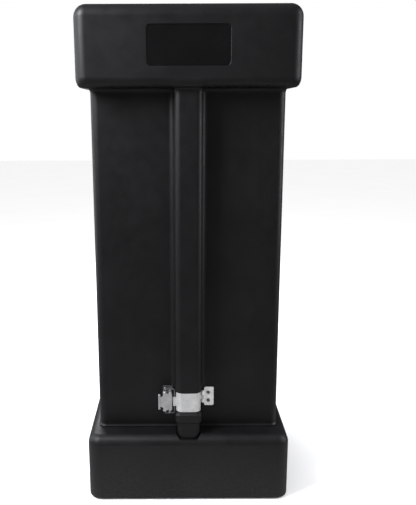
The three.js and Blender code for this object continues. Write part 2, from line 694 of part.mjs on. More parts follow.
// ---- toggle latch of the strap ----
const latchLow = latchMiddle - latchBaseHeight / 2;
const latchHigh = latchMiddle + latchBaseHeight / 2;
const latchFace = socketBack - latchBaseThickness;
const leverLow = latchLow + latchEarThickness + runGap;
const leverHigh = latchHigh - latchEarThickness - runGap;
const buildLatchBase = () => {
  const plate = slab(
    roundedShape(latchBaseLeft, latchBaseRight, latchLow, latchHigh, 2), latchFace, socketBack);
  const ears = [latchLow, latchHigh - latchEarThickness].map((z) =>
    box(latchEarLeft, latchBaseRight, latchPin[1] - 3.4, latchFace + 1, z,
      z + latchEarThickness));
  const pinHole = rod('z', ...latchPin, latchLow - 1, latchBaseHeight + 2, latchPinRadius + gap);
  const holes = latchScrewZs.map((z) =>
    rod('y', latchScrewX, latchFace - 5, z, 12, screwRadius + gap, 12));
  return cut(join(plate, ...ears), pinHole, ...holes);
};
place('latch_base', buildLatchBase(), zincPlate);
latchScrewZs.forEach((z, i) => place(`latch_screw_${i + 1}`,
  faceScrew(latchScrewX, latchFace - gap, z, 12), zincPlate));
place('latch_pin', rod('z', ...latchPin, latchLow - 0.8, latchBaseHeight + 1.6, latchPinRadius),
  zincPlate);

const leverBarrel = 3.4;
const leverFront = latchPin[1] - leverBarrel - leverPlateThickness + 0.6;
const buildLever = () => {
  const leverBack = leverFront + leverPlateThickness;
  const ridgeHalf = leverRidgeWidth / 2;
  const neckHalf = leverNeckHeight / 2;
  const lipHalf = leverLipHeight / 2;
  const barrel = rod('z', ...latchPin, leverLow, leverHigh - leverLow, leverBarrel, 20);
  const plate = box(leverRidgeX - ridgeHalf, leverRight, leverFront, leverBack,
    leverLow, leverHigh);
  const ridge = box(leverRidgeX - ridgeHalf, leverRidgeX + ridgeHalf, leverFront,
    bailPlane + ridgeHalf, leverLow, leverHigh);
  const neck = box(leverLipX, leverRidgeX, leverFront, leverBack, latchMiddle - neckHalf,
    latchMiddle + neckHalf);
  const lip = rod('z', leverLipX, leverFront + leverPlateThickness / 2, latchMiddle - lipHalf,
    leverLipHeight, leverLipRadius);
  const pinHole = rod('z', ...latchPin, leverLow - 1, leverHigh - leverLow + 2,
    latchPinRadius + gap);
  const axleHole = rod('z', leverRidgeX, bailPlane, leverLow - 1, leverHigh - leverLow + 2,
    bailRadius + gap);
  return cut(join(barrel, plate, ridge, neck, lip), pinHole, axleHole);
};
place('latch_lever', buildLever(), zincPlate);

const buildBail = () => {
  const low = latchMiddle - bailHeight / 2;
  const uprights = [leverRidgeX, bailBarX].map((x) =>
    rod('z', x, bailPlane, low, bailHeight, bailRadius, 12));
  const arms = [low, low + bailHeight].map((z) => join(
    rod('x', leverRidgeX, bailPlane, z, bailBarX - leverRidgeX, bailRadius, 12),
    ...[leverRidgeX, bailBarX].map((x) => toSolid(
      new THREE.SphereGeometry(bailRadius, 12, 6).translate(x, bailPlane, z)))));
  return join(...uprights, ...arms);
};
place('latch_bail', buildBail(), zincPlate);

export default lectern;
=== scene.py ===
import math

import bmesh
import bpy
from mathutils import Matrix, Vector


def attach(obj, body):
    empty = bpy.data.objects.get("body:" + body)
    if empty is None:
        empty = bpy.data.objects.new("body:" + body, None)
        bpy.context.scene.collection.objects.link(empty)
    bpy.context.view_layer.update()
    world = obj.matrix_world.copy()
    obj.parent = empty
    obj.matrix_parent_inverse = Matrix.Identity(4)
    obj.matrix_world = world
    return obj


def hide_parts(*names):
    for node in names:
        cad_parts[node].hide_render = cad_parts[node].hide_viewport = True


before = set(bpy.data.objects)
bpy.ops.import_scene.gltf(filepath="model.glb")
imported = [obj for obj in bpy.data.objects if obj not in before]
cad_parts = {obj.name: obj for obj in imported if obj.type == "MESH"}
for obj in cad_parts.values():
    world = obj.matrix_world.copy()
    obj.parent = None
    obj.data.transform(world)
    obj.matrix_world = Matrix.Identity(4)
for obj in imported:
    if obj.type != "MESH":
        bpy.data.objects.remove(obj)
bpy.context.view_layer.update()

mm = 0.001
quarter = math.pi / 2
sharpAngle = math.radians(32)    # steeper edges are drawn sharp
scene = bpy.context.scene


# points given to the mesh helpers are in millimetres
def addMesh(name, verts, faces):
    mesh = bpy.data.meshes.new(name)
    mesh.from_pydata([(x * mm, y * mm, z * mm) for x, y, z in verts], [], faces)
    obj = bpy.data.objects.new(name, mesh)
    scene.collection.objects.link(obj)
    bm = bmesh.new()
    bm.from_mesh(mesh)
    bmesh.ops.recalc_face_normals(bm, faces=bm.faces)
    bm.to_mesh(mesh)
    bm.free()
    smooth(obj)
    return obj


def smooth(obj):
    mesh = obj.data
    mesh.polygons.foreach_set("use_smooth", [True] * len(mesh.polygons))
    mesh.set_sharp_from_angle(angle=sharpAngle)


def weightedNormals(obj):
    mod = obj.modifiers.new("normals", "WEIGHTED_NORMAL")
    mod.keep_sharp = True
    mod.weight = 60


def bevelSharp(obj, width):
    bm = bmesh.new()
    bm.from_mesh(obj.data)
    bmesh.ops.dissolve_limit(bm, angle_limit=math.radians(1), verts=bm.verts, edges=bm.edges)
    sharp = [e for e in bm.edges if len(e.link_faces) == 2
             and e.calc_face_angle(0) > math.radians(40)]
    bmesh.ops.bevel(bm, geom=sharp, offset=width * mm, offset_type="OFFSET", segments=3,
                    profile=0.5, affect="EDGES", clamp_overlap=True)
    bm.to_mesh(obj.data)
    bm.free()
    smooth(obj)


def loft(name, rings):
    count = len(rings[0])
    verts = [p for ring in rings for p in ring]
    faces = []
    for r in range(len(rings) - 1):
        a, b = r * count, (r + 1) * count
        for i in range(count):
            j = (i + 1) % count
            faces.append((a + i, a + j, b + j, b + i))
    faces.append(tuple(reversed(range(count))))
    faces.append(tuple(range(len(verts) - count, len(verts))))
    return addMesh(name, verts, faces)


# points on an arc, angles in quarter turns
def arc(cx, cy, radius, start, end, steps):
    angles = [quarter * (start + (end - start) * i / steps) for i in range(steps + 1)]
    return [(cx + radius * math.cos(a), cy + radius * math.sin(a)) for a in angles]


def line(x0, y0, x1, y1, steps):
    return [(x0 + (x1 - x0) * i / steps, y0 + (y1 - y0) * i / steps) for i in range(1, steps)]


# outline with one radius at the low y corners and one at the high y corners
def roundRect(x0, x1, y0, y1, low, high=None):
    high = low if high is None else high
    return (arc(x1 - low, y0 + low, low, -1, 0, 8) + arc(x1 - high, y1 - high, high, 0, 1, 8)
            + arc(x0 + high, y1 - high, high, 1, 2, 8) + arc(x0 + low, y0 + low, low, 2, 3, 8))


def toZ(u, v, w):
    return (u, v, w)


def toY(u, v, w):
    return (u, w, v)


def toX(u, v, w):
    return (w, u, v)


def slab(name, outline, low, high, edge=0, axes=toZ):
    obj = loft(name, [[axes(u, v, w) for u, v in outline] for w in (low, high)])
    if edge:
        bevelSharp(obj, edge)
    return obj


# profile of (radius, height) pairs turned about a line through centre
def lathe(name, profile, centre, axes=toZ, steps=48):
    cx, cy, cz = centre
    rings = []
    for radius, height in profile:
        ring = []
        for i in range(steps):
            a = 2 * math.pi * i / steps
            x, y, z = axes(radius * math.cos(a), radius * math.sin(a), height)
            ring.append((cx + x, cy + y, cz + z))
        rings.append(ring)
    return loft(name, rings)


# closed profile of (radius, height) pairs turned into a ring
def turned(name, profile, centre, axes, steps):
    cx, cy, cz = centre
    count, verts, faces = len(profile), [], []
    for i in range(steps):
        a = 2 * math.pi * i / steps
        for radius, height in profile:
            x, y, z = axes(radius * math.cos(a), radius * math.sin(a), height)
            verts.append((cx + x, cy + y, cz + z))
    for i in range(steps):
        a, b = i * count, ((i + 1) % steps) * count
        for k in range(count):
            j = (k + 1) % count
            faces.append((a + k, a + j, b + j, b + k))
    return addMesh(name, verts, faces)


# closed round wire along a loop of points
def wire(name, path, radius):
    points = [Vector(p) for p in path]
    count, around = len(points), 12
    normal = (points[1] - points[0]).cross(points[2] - points[1])
    for i in range(count):
        normal += (points[i] - points[i - 1]).cross(points[(i + 1) % count] - points[i])
    normal.normalize()
    verts, faces = [], []
    for i, p in enumerate(points):
        along = (points[(i + 1) % count] - points[i - 1]).normalized()
        side = along.cross(normal).normalized()
        for k in range(around):
            a = 2 * math.pi * k / around
            verts.append(tuple(p + radius * (math.cos(a) * side + math.sin(a) * normal)))
    for i in range(count):
        a, b = i * around, ((i + 1) % count) * around
        for k in range(around):
            j = (k + 1) % around
            faces.append((a + k, a + j, b + j, b + k))
    return addMesh(name, verts, faces)


# boolean with each tool in turn; edges where the surfaces meet are rounded by rim
def combine(target, tools, operation="DIFFERENCE", rim=0):
    for obj, index in [(target, 0)] + [(tool, 1) for tool in tools]:
        obj.data.materials.clear()
        obj.data.materials.append(None)
        obj.data.materials.append(None)
        obj.data.polygons.foreach_set("material_index", [index] * len(obj.data.polygons))
    for tool in tools:
        mod = target.modifiers.new("cut", "BOOLEAN")
        mod.object = tool
        mod.operation = operation
        mod.solver = "EXACT"
    depsgraph = bpy.context.evaluated_depsgraph_get()
    mesh = bpy.data.meshes.new_from_object(target.evaluated_get(depsgraph))
    target.modifiers.clear()
    target.data = mesh
    mesh.name = target.name
    bm = bmesh.new()
    bm.from_mesh(mesh)
    bmesh.ops.remove_doubles(bm, verts=bm.verts, dist=1e-6)
    bmesh.ops.dissolve_limit(bm, angle_limit=math.radians(0.4), verts=bm.verts, edges=bm.edges,
                             delimit={"MATERIAL"})
    if rim:
        edges = [e for e in bm.edges if len(e.link_faces) == 2
                 and e.link_faces[0].material_index != e.link_faces[1].material_index
                 and e.calc_face_angle(0) > math.radians(35)]
        bmesh.ops.bevel(bm, geom=edges, offset=rim * mm, offset_type="OFFSET", segments=2,
                        profile=0.5, affect="EDGES", clamp_overlap=True)
    bmesh.ops.remove_doubles(bm, verts=bm.verts, dist=0.015 * mm)    # slivers of the cuts
    for f in bm.faces:
        f.material_index = 0
    bm.to_mesh(mesh)
    bm.free()
    mesh.materials.clear()
    for tool in tools:
        bpy.data.objects.remove(tool)
    smooth(target)
    return target


# gives a modelled piece its material and weighted normals, hides the CAD nodes it stands for and
# attaches it to its body
def finishPiece(obj, material, nodes, body=None):
    obj.data.materials.clear()
    obj.data.materials.append(material)
    weightedNormals(obj)
    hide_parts(*nodes)
    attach(obj, body or "lectern")
    return obj


def newMaterial(name):
    mat = bpy.data.materials.new(name)
    mat.use_nodes = True
    nodes, links = mat.node_tree.nodes, mat.node_tree.links
    nodes.clear()
    out = nodes.new("ShaderNodeOutputMaterial")
    shader = nodes.new("ShaderNodeBsdfPrincipled")
    links.new(shader.outputs["BSDF"], out.inputs["Surface"])
    return mat, nodes, links, shader


def newGroup(name, inputs, outputs):
    tree = bpy.data.node_groups.new(name, "ShaderNodeTree")
    for label, value in inputs.items():
        socket = tree.interface.new_socket(label, in_out="INPUT", socket_type="NodeSocketFloat")
        socket.default_value = value
    for label in outputs:
        tree.interface.new_socket(label, in_out="OUTPUT", socket_type="NodeSocketFloat")
    return tree, tree.nodes.new("NodeGroupInput").outputs, tree.nodes.new("NodeGroupOutput").inputs


def setOrLink(tree, socket, value):
    if isinstance(value, (int, float)):
        socket.default_value = value
    else:
        tree.links.new(value, socket)


def addNoise(tree, coords, scale, detail=3.0, roughness=0.55):
    noise = tree.nodes.new("ShaderNodeTexNoise")
    setOrLink(tree, noise.inputs["Scale"], scale)
    noise.inputs["Detail"].default_value = detail
    noise.inputs["Roughness"].default_value = roughness
    tree.links.new(coords, noise.inputs["Vector"])
    return noise.outputs["Fac"]


def addRange(tree, value, fromLow, fromHigh, toLow, toHigh):
    node = tree.nodes.new("ShaderNodeMapRange")
    for label, number in (("From Min", fromLow), ("From Max", fromHigh),
                          ("To Min", toLow), ("To Max", toHigh)):
        node.inputs[label].default_value = number
    tree.links.new(value, node.inputs["Value"])
    return node.outputs["Result"]


def addMath(tree, operation, a, b):
    node = tree.nodes.new("ShaderNodeMath")
    node.operation = operation
    setOrLink(tree, node.inputs[0], a)
    setOrLink(tree, node.inputs[1], b)
    return node.outputs[0]


def addRamp(tree, value, stops):
    node = tree.nodes.new("ShaderNodeValToRGB")
    ramp = node.color_ramp
    while len(ramp.elements) < len(stops):
        ramp.elements.new(0.5)
    for element, (position, color) in zip(ramp.elements, stops):
        element.position = position
        element.color = (*color, 1)
    tree.links.new(value, node.inputs["Fac"])
    return node.outputs["Color"]


def addBump(tree, height, distance):
    node = tree.nodes.new("ShaderNodeBump")
    node.inputs["Strength"].default_value = 1.0
    node.inputs["Distance"].default_value = distance
    tree.links.new(height, node.inputs["Height"])
    return node.outputs["Normal"]


# pebble grain of a textured mould, with the slow unevenness of a thick moulding
def mouldedGrain():
    tree, given, out = newGroup("mouldedGrain", {"Grain Scale": 620, "Drift Scale": 7},
                                ["Height", "Tone", "Sheen"])
    coords = tree.nodes.new("ShaderNodeTexCoord").outputs["Object"]
    cells = tree.nodes.new("ShaderNodeTexVoronoi")
    cells.feature = "SMOOTH_F1"
    cells.inputs["Smoothness"].default_value = 0.6
    tree.links.new(given["Grain Scale"], cells.inputs["Scale"])
    tree.links.new(coords, cells.inputs["Vector"])
    fine = addNoise(tree, coords, 1500, 2)
    slow = addNoise(tree, coords, given["Drift Scale"], 2)
    cloudy = addNoise(tree, coords, 38, 5)
    pebbles = addMath(tree, "MULTIPLY", cells.outputs["Distance"], -1.0)
    height = addMath(tree, "ADD", pebbles, addMath(tree, "MULTIPLY", fine, 0.35))
    tree.links.new(height, out["Height"])
    tree.links.new(addRange(tree, slow, 0.3, 0.7, 0, 1), out["Tone"])
    tree.links.new(addRange(tree, cloudy, 0.3, 0.7, 0, 1), out["Sheen"])
    return tree


# thin scuffs, hand marks and the dust that settles low down
def lightWear():
    tree, given, out = newGroup("lightWear", {"Amount": 0.12}, ["Marks"])
    coords = tree.nodes.new("ShaderNodeTexCoord").outputs["Object"]
    stretch = tree.nodes.new("ShaderNodeMapping")
    stretch.inputs["Rotation"].default_value = (0.4, 0.3, 0.9)
    stretch.inputs["Scale"].default_value = (9, 90, 30)
    tree.links.new(coords, stretch.inputs["Vector"])
    lines = addRange(tree, addNoise(tree, stretch.outputs["Vector"], 2.2, 6, 0.7), 0.66, 0.74, 0, 1)
    patches = addRange(tree, addNoise(tree, coords, 5.5, 3), 0.52, 0.68, 0, 1)
    scuffs = addMath(tree, "MULTIPLY", lines, patches)
    split = tree.nodes.new("ShaderNodeSeparateXYZ")
    tree.links.new(coords, split.inputs["Vector"])
    low = addRange(tree, split.outputs["Z"], 0.0, 0.16, 1.0, 0.0)
    speckle = addRange(tree, addNoise(tree, coords, 160, 6, 0.7), 0.42, 0.7, 0, 1)
    dust = addMath(tree, "MULTIPLY", low, speckle)
    marks = addMath(tree, "MULTIPLY", addMath(tree, "MAXIMUM", scuffs, dust), given["Amount"])
    tree.links.new(marks, out["Marks"])
    return tree


# fine drawn lines along one direction of a metal part, and faint cloudiness
def brushedLines():
    tree, given, out = newGroup("brushedLines", {"Line Scale": 1, "Cloud Scale": 90},
                                ["Lines", "Cloud"])
    coords = tree.nodes.new("ShaderNodeTexCoord").outputs["Object"]
    stretch = tree.nodes.new("ShaderNodeMapping")
    stretch.inputs["Scale"].default_value = (60, 60, 1800)
    tree.links.new(coords, stretch.inputs["Vector"])
    lines = addNoise(tree, stretch.outputs["Vector"], given["Line Scale"], 3, 0.6)
    cloud = addNoise(tree, coords, given["Cloud Scale"], 4)
    tree.links.new(lines, out["Lines"])
    tree.links.new(addRange(tree, cloud, 0.3, 0.7, 0, 1), out["Cloud"])
    return tree


grainGroup, wearGroup, brushGroup = mouldedGrain(), lightWear(), brushedLines()


def useGroup(nodes, tree, values):
    node = nodes.new("ShaderNodeGroup")
    node.node_tree = tree
    for label, value in values.items():
        node.inputs[label].default_value = value
    return node.outputs


# tone drifts between two colours, the grain and the scuffs catch light
def plastic(name, dark, light, roughLow, roughHigh, grain, specular=0.5, scuff=0.5):
    mat, nodes, links, shader = newMaterial(name)
    tree = mat.node_tree
    look = useGroup(nodes, grainGroup, {"Grain Scale": 620, "Drift Scale": 7})
    marks = useGroup(nodes, wearGroup, {"Amount": 0.25 * scuff})["Marks"]
    base = addRamp(tree, look["Tone"], [(0.0, dark), (1.0, light)])
    mix = nodes.new("ShaderNodeMix")
    mix.data_type = "RGBA"
    mix.inputs["B"].default_value = (0.10, 0.095, 0.088, 1)
    links.new(marks, mix.inputs["Factor"])
    links.new(base, mix.inputs["A"])
    links.new(mix.outputs["Result"], shader.inputs["Base Color"])
    rough = addRange(tree, look["Sheen"], 0, 1, roughLow, roughHigh)
    links.new(addMath(tree, "ADD", rough, addMath(tree, "MULTIPLY", marks, 0.6)),
              shader.inputs["Roughness"])
    shader.inputs["Specular IOR Level"].default_value = specular
    if grain:
        links.new(addBump(tree, look["Height"], grain * mm), shader.inputs["Normal"])
    return mat


def metal(name, dark, light, roughLow, roughHigh, metallic=1.0):
    mat, nodes, links, shader = newMaterial(name)
    tree = mat.node_tree
    brush = useGroup(nodes, brushGroup, {"Line Scale": 1, "Cloud Scale": 90})
    links.new(addRamp(tree, brush["Cloud"], [(0.0, dark), (1.0, light)]),
              shader.inputs["Base Color"])
    lines = addRange(tree, brush["Lines"], 0.3, 0.7, roughLow, roughHigh)
    links.new(lines, shader.inputs["Roughness"])
    links.new(addBump(tree, brush["Lines"], 0.02 * mm), shader.inputs["Normal"])
    shader.inputs["Metallic"].default_value = metallic
    return mat


shellLook = {"dark": (0.0032, 0.0032, 0.0035), "light": (0.0048, 0.0048, 0.0052),
             "roughLow": 0.44, "roughHigh": 0.54, "grain": 0.10, "specular": 0.40}
shellPlastic = plastic("shellPlastic", **shellLook)
smoothPlastic = plastic("smoothPlastic", (0.0025, 0.0025, 0.0027), (0.0038, 0.0038, 0.0040),
                        0.34, 0.42, 0.012, specular=0.15, scuff=0.3)
deskGrain = plastic("deskGrain", (0.014, 0.014, 0.0155), (0.021, 0.021, 0.023), 0.55, 0.68, 0.06)
hubPlastic = plastic("hubPlastic", (0.010, 0.010, 0.011), (0.018, 0.018, 0.019), 0.38, 0.50, 0.03)
rubberLook = plastic("rubberLook", (0.009, 0.009, 0.009), (0.017, 0.016, 0.016), 0.72, 0.88, 0.05,
                     specular=0.3, scuff=1.0)
tyreLook = plastic("tyreLook", (0.011, 0.011, 0.011), (0.020, 0.019, 0.018), 0.70, 0.86, 0.06,
                   specular=0.3, scuff=1.2)
zinc = metal("zinc", (0.47, 0.47, 0.465), (0.58, 0.58, 0.575), 0.30, 0.44, metallic=0.5)
zincDull = metal("zincDull", (0.34, 0.335, 0.345), (0.45, 0.445, 0.455), 0.32, 0.48, metallic=0.6)
zincBright = metal("zincBright", (0.66, 0.66, 0.655), (0.78, 0.78, 0.775), 0.34, 0.48, metallic=0.4)
# copy of the zinc darkened as painted shade, for the latch base and the bail that sit in shadow
# beside the strap; the screw heads use it too
shadeDarkenedZinc = metal("shadeDarkenedZinc", (0.16, 0.16, 0.158), (0.26, 0.26, 0.255), 0.30, 0.46, metallic=0.8)
darkSteel = metal("darkSteel", (0.075, 0.077, 0.080), (0.12, 0.12, 0.125), 0.34, 0.50)
aluminium = metal("aluminium", (0.42, 0.43, 0.44), (0.52, 0.53, 0.54), 0.30, 0.44)
print("materials ready")


# sizes that several pieces share, in millimetres
frontY, backY = -225.0, 225.0
columnFront, columnBack, columnHalf = -164.0, 205.0, 225.0
ribFront, ribHalf, ribBottom = -206.0, 32.0, 278.0
headHalf, headBottom, topZ = 250.0, 1004.0, 1180.0
slopeStart, slopeAngle = -130.0, math.radians(15)
mastY = -185.0
hingeMiddle, latchMiddle = 252.75, 252.0

# recess of the blank panel in the head, and the desk recess measured down the slope
nameRecess = {"half": 91.5, "bottom": 1049, "top": 1135, "corner": 9, "depth": 3.5}
deskRecess = {
    "half": 222, "corner": 6, "depth": 6,
    "start": 12 / math.cos(slopeAngle),
    "end": (backY - 24 - slopeStart) / math.cos(slopeAngle),
}


# height of the top: level at the front, then down towards the speaker
def topAt(y, ease=5.0):
    t = y - slopeStart
    return topZ - math.tan(slopeAngle) * 0.5 * (t + math.sqrt(t * t + ease * ease))


# point on the reading slope, from its front edge and above its surface
def onSlope(x, along, height):
    c, s = math.cos(slopeAngle), math.sin(slopeAngle)
    return (x, slopeStart + along * c + height * s, topZ - along * s + height * c)


# head, column and rib are one moulding
body = {
    "columnCorner": 19,      # radius of the column's front corners
    "ribCorner": 15,
    "ribCove": 13,           # hollow rounding where the rib meets the face
    "headCorner": 27,        # upright corners of the head
    "topRounding": 28,
    "lipRounding": 22,       # lower edge of the head
    "coveRounding": 12,      # where the column runs into the head
    "ribBlend": 1.2,         # how much longer the rounding is where the rib meets the head
    "wall": 6,
    "hollowFloor": 176.3,    # of the open box behind the column
    "mastBore": 16,
    "recessRim": 1.3,        # rounding round the two recesses
    # lip where the column stands on the base: how far out, and the height
    "footLip": [(1.6, 170.3), (2.4, 170.7), (2.7, 171.5), (2.4, 172.4), (1.2, 174.0),
                (0.3, 176), (0, 178)],
}


def columnHalfOutline(rib):
    r, rc = body["ribCorner"], body["ribCove"]
    if rib:
        pts = [(0, ribFront), (ribHalf * 0.27, ribFront)]
        pts += arc(ribHalf - r, ribFront + r, r, -1, 0, 8)
        pts += line(ribHalf, ribFront + r, ribHalf + 0.4, columnFront - rc, 3)
        pts += arc(ribHalf + 0.4 + rc, columnFront - rc, rc, 2, 1, 6)
    else:
        pts = [((ribHalf + 0.4 + rc) * i / 19, columnFront) for i in range(20)]
    x0 = pts[-1][0]
    c = body["columnCorner"]
    pts += line(x0, columnFront, columnHalf - c, columnFront, 12)
    pts += arc(columnHalf - c, columnFront + c, c, -1, 0, 8)
    pts += line(columnHalf, columnFront + c, columnHalf, columnBack - 4, 12)
    pts += arc(columnHalf - 4, columnBack - 4, 4, 0, 1, 4)
    pts += line(columnHalf - 4, columnBack, 0, columnBack, 8) + [(0, columnBack)]
    return pts


def headHalfOutline(inset):
    half, y0, y1 = headHalf - inset, frontY + inset, backY - inset
    c = max(body["headCorner"] - inset, 0.6)
    xs = [0, ribHalf * 0.27] + [18 + 24 * i / 8 for i in range(9)] + [45, 48]
    xs += [51 + 13 * i / 6 for i in range(7)]
    pts = [(x, y0) for x in xs]
    pts += line(64, y0, half - c, y0, 12)
    pts += arc(half - c, y0 + c, c, -1, 0, 8)
    pts += line(half, y0 + c, half, y1 - c, 12)
    pts += arc(half - c, y1 - c, c, 0, 1, 4)
    pts += line(half - c, y1, 0, y1, 8) + [(0, y1)]
    return pts


def mirrored(halfRing):
    return halfRing + [(-p[0], *p[1:]) for p in reversed(halfRing[1:-1])]


def buildBody():
    plain, ribbed, head = columnHalfOutline(False), columnHalfOutline(True), headHalfOutline(0)
    rings = []

    def ring(outline, z):
        rings.append(mirrored([(x, y, z) for x, y in outline]))

    def shrunk(outline, amount):
        cx, cy = columnHalf, (columnFront + columnBack) / 2
        return [(x * (1 - amount / cx), cy + (y - cy) * (1 - amount / (columnBack - cy)))
                for x, y in outline]

    for flare, z in body["footLip"]:
        ring(shrunk(plain, -flare), z)
    ring(plain, 240)
    ring(plain, ribBottom)
    ribInner = [(x, min(y + 1.4, columnFront)) if x < 41 else (x, y) for x, y in ribbed]
    ring(ribInner, ribBottom)
    ring([(x, min(y + 0.4, columnFront)) if x < 41 else (x, y) for x, y in ribbed],
         ribBottom + 0.4)
    ring(ribbed, ribBottom + 1.4)
    for z in (340, 420, 500, 580, 660, 740, 820, 900, 960):
        ring(ribbed, z)

    # one ring of the way from the column out to the head
    def blendRing(step):
        half = []
        for (cx, cy), (hx, hy) in zip(ribbed, head):
            gap = math.hypot(hx - cx, hy - cy)
            lip, cove = min(body["lipRounding"], 0.6 * gap), min(body["coveRounding"], 0.36 * gap)
            tall = 1 + body["ribBlend"] * max(0, 1 - gap / 45)
            if step <= 6:
                a = quarter * step / 6
                out, z = cove * (1 - math.cos(a)), headBottom - cove * tall * (1 - math.sin(a))
            elif step <= 8:
                out, z = cove + (gap - lip - cove) * (step - 6) / 3, headBottom
            else:
                a = quarter * (step - 9) / 8
                out = gap - lip + lip * math.sin(a)
                z = headBottom + lip * min(tall, body["lipRounding"] / lip) * (1 - math.cos(a))
            t = out / max(gap, 1e-6)
            half.append((cx + (hx - cx) * t, cy + (hy - cy) * t, z))
        rings.append(mirrored(half))

    for step in range(18):
        blendRing(step)
    rounding = body["topRounding"]
    for part in (0.15, 0.4, 0.65, 0.85):
        low = headBottom + body["lipRounding"]
        rings.append(mirrored([(x, y, low + (topAt(y) - rounding - low) * part) for x, y in head]))
    for k in range(9):
        a = quarter * k / 8
        outline = headHalfOutline(rounding * (1 - math.cos(a)))
        rings.append(mirrored([(x, y, topAt(y) - rounding * (1 - math.sin(a)))
                               for x, y in outline]))
    inner = headHalfOutline(rounding)
    for k in range(1, 13):
        t = 0.97 * k / 12
        shape = [(x * (1 - t), y * (1 - t)) for x, y in inner]
        rings.append(mirrored([(x, y, topAt(y)) for x, y in shape]))
    shell = loft("lectern_body", rings)

    wall = body["wall"]
    inner = roundRect(wall - columnHalf, columnHalf - wall, columnFront + wall, columnBack + 60,
                      13, 2)
    hollow = slab("hollow", inner, body["hollowFloor"], headBottom)
    bore = lathe("bore", [(body["mastBore"], 250), (body["mastBore"], topZ + 20)],
                 (0, mastY, 0), steps=48)
    seat = lathe("seat", [(18.3, topZ - 5), (18.3, topZ - 0.9), (18.7, topZ - 0.3),
                          (19.6, topZ + 0.2), (19.6, topZ + 9)], (0, mastY, 0), steps=64)
    combine(shell, [hollow, bore, seat], rim=0.8)

    # recess tool with a rounded rim: (grow, depth) pairs
    def flared(name, outlineAt, axes, levels):
        return loft(name, [[axes(u, v, w) for u, v in outlineAt(grow)] for grow, w in levels])

    rim = body["recessRim"]
    rimSteps = [(rim * (1 - math.cos(quarter * k / 5)), rim * (1 - math.sin(quarter * k / 5)))
                for k in range(5, -1, -1)]
    n, d = nameRecess, deskRecess
    nameLevels = [(3.0, frontY - 6), (2.2, frontY - 0.2)]
    nameLevels += [(grow, frontY + depth) for grow, depth in rimSteps[1:]]
    nameLevels += [(0, frontY + n["depth"])]
    nameTool = flared("nameTool", lambda grow: roundRect(
        -n["half"] - grow, n["half"] + grow, n["bottom"] - grow, n["top"] + grow,
        n["corner"] + grow), toY, nameLevels)
    deskLevels = [(0, -d["depth"]), (0, -2.0)]
    deskLevels += [(grow, -depth) for grow, depth in reversed(rimSteps[1:])] + [(2.4, 0.4), (3, 30)]
    deskTool = flared("deskTool", lambda grow: roundRect(
        -d["half"] - grow, d["half"] + grow, d["start"] - grow, d["end"] + grow,
        d["corner"] + grow), onSlope, deskLevels)
    combine(shell, [nameTool, deskTool])
    return shell


lecternBody = buildBody()
finishPiece(lecternBody, shellPlastic, ["body_shell"])
print("body done")


base = {
    "half": 250,
    "corner": 32,
    "topFillet": 24,
    "bottomRound": 6,
    "lift": 2,                # lower edge above the floor
    "top": 170,
    "rearChamfer": 35,
    "notchRadius": 30,
    "notchCentre": -199,
    "notchFloor": 160,
    "wall": 6.3,              # round the hollow that the pan closes
    "underBack": 181.5,
    "underTop": 11.3,
    "pocketX": 176,           # middle of each wheel pocket
    "pocketHalf": 17,
    "pocketFront": 140,
    "pocketTop": 87.5,
}


def baseOutline(inset):
    c = max(base["corner"] - inset, 1)
    h, y0, y1 = base["half"] - inset, frontY + inset, backY - inset
    pts = arc(h - c, y0 + c, c, -1, 0, 10) + line(h, y0 + c, h, y1 - c, 14)
    pts += arc(h - c, y1 - c, c, 0, 1, 10) + line(h - c, y1, c - h, y1, 16)
    pts += arc(c - h, y1 - c, c, 1, 2, 10) + line(-h, y1 - c, -h, y0 + c, 14)
    return pts + arc(c - h, y0 + c, c, 2, 3, 10) + line(c - h, y0, h - c, y0, 16)


# lower rear edge cut back at 45 degrees, with a soft upper and lower corner
def chamfered(x, y, z):
    limit, soft = backY - base["rearChamfer"] + (z - base["lift"]), 4.0
    over = y - limit
    return (x, y - 0.5 * (over + math.sqrt(over * over + soft * soft)) if over > -30 else y, z)


def buildBase():
    rings = []
    low, fillet, top = base["bottomRound"], base["topFillet"], base["top"]
    for k in range(5):
        a = quarter * k / 4
        rings.append([chamfered(x, y, base["lift"] + low * (1 - math.cos(a)))
                      for x, y in baseOutline(low * (1 - math.sin(a)))])
    for z in (11, 16, 21, 26, 31, 35, 38, 42, 48, 60, 80, 110, 135):
        rings.append([chamfered(x, y, z) for x, y in baseOutline(0)])
    for k in range(11):
        a = quarter * k / 10
        rings.append([(x, y, top - fillet * (1 - math.sin(a)))
                      for x, y in baseOutline(fillet * (1 - math.cos(a)))])
    inner = baseOutline(fillet)
    for t in (0.2, 0.5, 0.8):
        rings.append([(x * (1 - t), y * (1 - t), top) for x, y in inner])
    shell = loft("lectern_base", rings)
    r, behind = base["notchRadius"], columnFront + 0.3
    notchOutline = arc(0, base["notchCentre"], r, 2, 4, 28) + [(r, behind), (-r, behind)]
    notch = slab("notch", notchOutline, base["notchFloor"], top + 12)
    x, half, wall = base["pocketX"], base["pocketHalf"], base["wall"]
    pocket = [slab("pocket", roundRect(side * x - half, side * x + half, base["pocketFront"],
                                       backY + 35, 5, 2), -10, base["pocketTop"])
              for side in (-1, 1)]
    under = slab("under", roundRect(wall - base["half"], base["half"] - wall, frontY + wall,
                                    base["underBack"], 21, 2), -8, base["underTop"])
    combine(shell, [under] + pocket, rim=0.8)
    return combine(shell, [notch], rim=3.0)


lecternBase = buildBase()
finishPiece(lecternBase, shellPlastic, ["base_shell"])
print("base done")

socket = {
    "footHalf": 28,
    "footTip": 22,       # half width where the foot meets the notch
    "collarHalf": 32.5,
    "neckHalf": 28.75,
    "top": 277.7,
    "boreRadius": 14.3,
}


